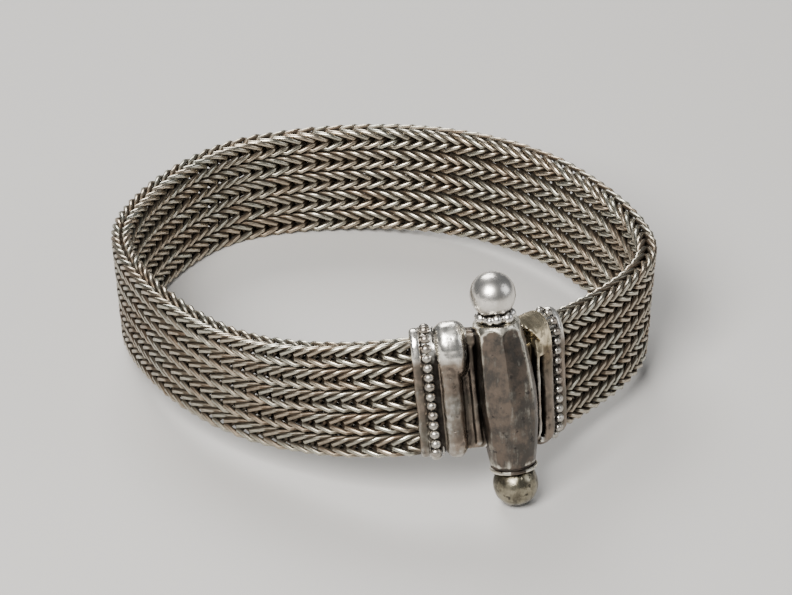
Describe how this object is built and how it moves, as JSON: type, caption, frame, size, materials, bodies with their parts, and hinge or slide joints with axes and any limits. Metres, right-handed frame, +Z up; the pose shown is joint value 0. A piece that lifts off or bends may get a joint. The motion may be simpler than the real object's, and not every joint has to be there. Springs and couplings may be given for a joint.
{
  "type": "multi-strand chain bracelet",
  "caption": "Silver bracelet of square loop-in-loop chain strands side by side, held in beaded terminals and closed by a barrel clasp with a ball-headed pin.",
  "frame": {"origin": "middle of the outer box, on the surface that the bracelet rests on", "axes": "+Z up; the clasp is at -Y, and +X is to the right of someone who faces the clasp from outside"},
  "size_m": [0.0604, 0.0717, 0.0278],
  "materials": {
    "chain_silver": "oxidised silver wire, dark in the recesses and rubbed bright on top",
    "worn_silver": "worn, lightly pitted silver with brown-grey tarnish",
    "bright_silver": "hand-polished silver"
  },
  "bodies": {
    "bracelet": {"chain_1": "chain_silver", "chain_2": "chain_silver", "chain_3": "chain_silver", "chain_4": "chain_silver", "chain_5": "chain_silver", "left_terminal": "worn_silver", "right_terminal": "worn_silver"},
    "pin": {"clasp_pin": "bright_silver"}
  },
  "joints": [
    {"name": "pin_slide", "type": "slide", "parent": "bracelet", "child": "pin", "axis": [0, 0.2379, 0.9713], "range_m": [0, 0.017]}
  ]
}
